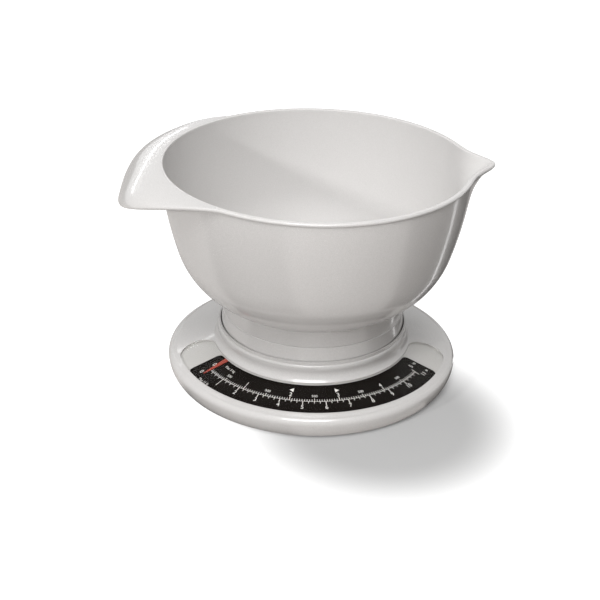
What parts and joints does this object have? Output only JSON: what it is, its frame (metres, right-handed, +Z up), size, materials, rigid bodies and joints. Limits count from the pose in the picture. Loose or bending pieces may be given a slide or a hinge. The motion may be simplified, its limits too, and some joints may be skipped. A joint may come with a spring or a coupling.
{
  "type": "kitchen scale",
  "caption": "Mechanical kitchen scale: round base with a curved dial window and a sprung platform that carries a lift-off mixing bowl with a pouring lip and a brim handle.",
  "frame": {"origin": "on the table under the middle of the base, where the axis of base, platform and bowl meets it", "axes": "+Z up, the dial faces -Y, the bowl's pouring lip points to +X and its handle to -X"},
  "size_m": [0.2434, 0.205, 0.1508],
  "materials": {
    "pearl_plastic": "pearl silver-grey semi-gloss moulding",
    "base_plastic": "satin grey moulding",
    "clear_plastic": "clear polished window",
    "dial_black": "matt black with printed white marks",
    "pointer_red": "satin red",
    "zinc_steel": "zinc plated sheet and wire",
    "brass": "turned",
    "white_acetal": "moulded",
    "rubber": "matt black pads"
  },
  "bodies": {
    "base": {"base_plate": "base_plastic", "rubber_feet": "rubber", "top_housing": "pearl_plastic", "housing_screws": "zinc_steel", "window_lens": "clear_plastic", "window_mask": "pearl_plastic", "dial_plate": "dial_black", "dial_screws": "zinc_steel", "mechanism_frame": "zinc_steel", "frame_screws": "zinc_steel", "arm_pivot_rods": "zinc_steel", "movement_bracket": "zinc_steel", "bracket_screws": "zinc_steel", "bearing_bushes": "brass", "crank_pivot_pin": "zinc_steel", "rack_guide": "white_acetal", "main_springs": "zinc_steel", "crank_return_spring": "zinc_steel"},
    "platform": {"weighing_platform": "pearl_plastic", "platform_carrier": "zinc_steel", "carrier_pins": "zinc_steel", "platform_screws": "zinc_steel"},
    "zero_adjuster": {"zero_knob": "base_plastic", "zero_screw": "zinc_steel"},
    "lower_lever": {"lower_arm": "zinc_steel"},
    "upper_lever": {"upper_arm": "zinc_steel"},
    "crank": {"bell_crank": "zinc_steel", "crank_drive_pin": "zinc_steel"},
    "rack": {"toothed_rack": "white_acetal"},
    "pointer": {"pointer_shaft": "zinc_steel", "pinion_gear": "brass", "pointer_hub": "brass", "pointer_needle": "pointer_red"},
    "bowl": {"mixing_bowl": "pearl_plastic"}
  },
  "joints": [
    {"name": "platform_travel", "type": "slide", "parent": "base", "child": "platform", "axis": [0, 0, -1], "range_m": [0, 0.005], "stiffness_N_per_m": 9810, "springref_m": -0.0003, "deforming": ["main_springs", "crank_return_spring"]},
    {"name": "lower_arm_pivot", "type": "hinge", "parent": "base", "child": "lower_lever", "pos_m": [0, 0.04, 0.0135], "axis": [1, 0, 0], "range_deg": [0, 7.16]},
    {"name": "upper_arm_pivot", "type": "hinge", "parent": "base", "child": "upper_lever", "pos_m": [0, 0.04, 0.032], "axis": [1, 0, 0], "range_deg": [0, 7.16]},
    {"name": "crank_pivot", "type": "hinge", "parent": "base", "child": "crank", "pos_m": [0, 0.012, 0.032], "axis": [1, 0, 0], "range_deg": [0, 23.87]},
    {"name": "rack_slide", "type": "slide", "parent": "base", "child": "rack", "axis": [0, 1, 0], "range_m": [0, 0.00815]},
    {"name": "pointer_turn", "type": "hinge", "parent": "base", "child": "pointer", "pos_m": [0, 0, 0.01], "axis": [0, 0, 1], "range_deg": [0, 116.7]},
    {"name": "zero_knob_turn", "type": "hinge", "parent": "platform", "child": "zero_adjuster", "pos_m": [0, 0, 0.0456], "axis": [0, 0, 1], "range_deg": [-180, 180]},
    {"name": "bowl_lift", "type": "slide", "parent": "platform", "child": "bowl", "axis": [0, 0, 1], "range_m": [0, 0.06]}
  ],
  "couplings": [
    {"joint": "lower_arm_pivot", "follows": "platform_travel", "rad_per_m": 25},
    {"joint": "upper_arm_pivot", "follows": "platform_travel", "rad_per_m": 25},
    {"joint": "crank_pivot", "follows": "platform_travel", "rad_per_m": 83.333},
    {"joint": "rack_slide", "follows": "platform_travel", "ratio": 1.6294},
    {"joint": "pointer_turn", "follows": "platform_travel", "rad_per_m": 407.36}
  ]
}
